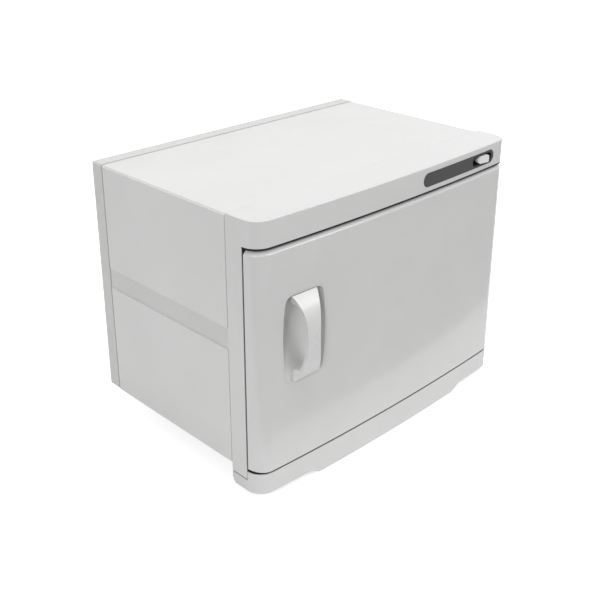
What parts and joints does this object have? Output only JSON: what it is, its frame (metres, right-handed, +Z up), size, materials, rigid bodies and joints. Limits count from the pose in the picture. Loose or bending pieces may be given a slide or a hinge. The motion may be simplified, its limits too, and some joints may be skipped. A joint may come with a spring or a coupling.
{
  "type": "hot towel cabinet",
  "caption": "Table-top hot towel cabinet with one side-hinged insulated door, wire racks, drip tray and a rocker switch in the band above the door.",
  "frame": {"origin": "middle of the overall footprint, on the surface that the feet stand on", "axes": "+X to the right as seen from the front, +Y to the back, +Z up"},
  "size_m": [0.45, 0.3214, 0.35],
  "materials": {
    "white_abs": "glossy moulded plastic, pale grey-white",
    "grip_white": "glossy moulded plastic",
    "painted_steel": "fine powder coat, satin",
    "rear_plastic": "fine textured moulded plastic",
    "galvanised": "galvanised sheet",
    "liner_aluminium": "brushed, satin",
    "chrome_wire": "bright plated wire",
    "steel_screws": "zinc plated",
    "black_rubber": "matt",
    "grey_rubber": "matt",
    "foam": "fibre and foam board",
    "smoked_panel": "smoked, glossy",
    "switch_black": "satin",
    "rocker_white": "glossy",
    "nylon": "natural nylon",
    "dark_plastic": "moulded",
    "lamp_glass": "clear",
    "lamp_ends": "satin",
    "silicone": "matt",
    "wire_sleeve": "matt",
    "circuit_board": "satin",
    "lamp_lens": "clear tinted",
    "ballast_can": "enamelled",
    "magnet_black": "moulded"
  },
  "bodies": {
    "cabinet": {"front_frame": "white_abs", "base_plinth": "white_abs", "gap_seals": "black_rubber", "outer_casing": "painted_steel", "rear_cover": "rear_plastic", "base_plate": "galvanised", "back_panel": "galvanised", "inner_liner": "liner_aluminium", "rack_rails": "liner_aluminium", "heater_mat": "silicone", "insulation_top": "foam", "insulation_sides": "foam", "insulation_rear": "foam", "insulation_bottom": "foam", "thermostat": "dark_plastic", "thermal_fuse": "steel_screws", "uv_lamp_tube": "lamp_glass", "uv_lamp_holders": "lamp_ends", "uv_lamp_guard": "chrome_wire", "uv_ballast": "ballast_can", "uv_starter": "lamp_ends", "terminal_block": "nylon", "wiring_loom": "wire_sleeve", "switch_body": "switch_black", "control_panel": "smoked_panel", "indicator_board": "circuit_board", "indicator_lamps": "lamp_lens", "catch_magnet": "magnet_black", "hinge_bracket_top": "galvanised", "hinge_bracket_bottom": "galvanised", "hinge_pin_top": "steel_screws", "hinge_pin_bottom": "steel_screws", "cord_gland": "black_rubber", "feet": "dark_plastic", "foot_pads": "black_rubber", "foot_screws": "steel_screws", "rear_cover_screws": "steel_screws", "plinth_screws": "steel_screws", "hinge_screws": "steel_screws"},
    "door": {"door_shell": "white_abs", "door_liner": "liner_aluminium", "door_insulation": "foam", "door_gasket": "grey_rubber", "handle_cup": "white_abs", "handle_strap": "grip_white", "handle_screws": "steel_screws", "catch_plate": "galvanised", "hinge_bush_top": "nylon", "hinge_bush_bottom": "nylon", "door_liner_screws": "steel_screws"},
    "switch_rocker": {"switch_rocker": "rocker_white"},
    "upper_rack": {"upper_rack": "chrome_wire"},
    "lower_rack": {"lower_rack": "chrome_wire"},
    "drip_tray": {"drip_tray": "liner_aluminium"}
  },
  "joints": [
    {"name": "door_hinge", "type": "hinge", "parent": "cabinet", "child": "door", "pos_m": [0.2115, -0.12926, 0.178], "axis": [0, 0, 1], "range_deg": [0, 110]},
    {"name": "rocker_tilt", "type": "hinge", "parent": "cabinet", "child": "switch_rocker", "pos_m": [0.1665, -0.14105, 0.3335], "axis": [0, 0, 1], "range_deg": [0, 16]},
    {"name": "upper_rack_slide", "type": "slide", "parent": "cabinet", "child": "upper_rack", "axis": [0, -1, 0], "range_m": [0, 0.012]},
    {"name": "lower_rack_slide", "type": "slide", "parent": "cabinet", "child": "lower_rack", "axis": [0, -1, 0], "range_m": [0, 0.012]},
    {"name": "drip_tray_slide", "type": "slide", "parent": "cabinet", "child": "drip_tray", "axis": [0, -1, 0], "range_m": [0, 0.011]}
  ]
}
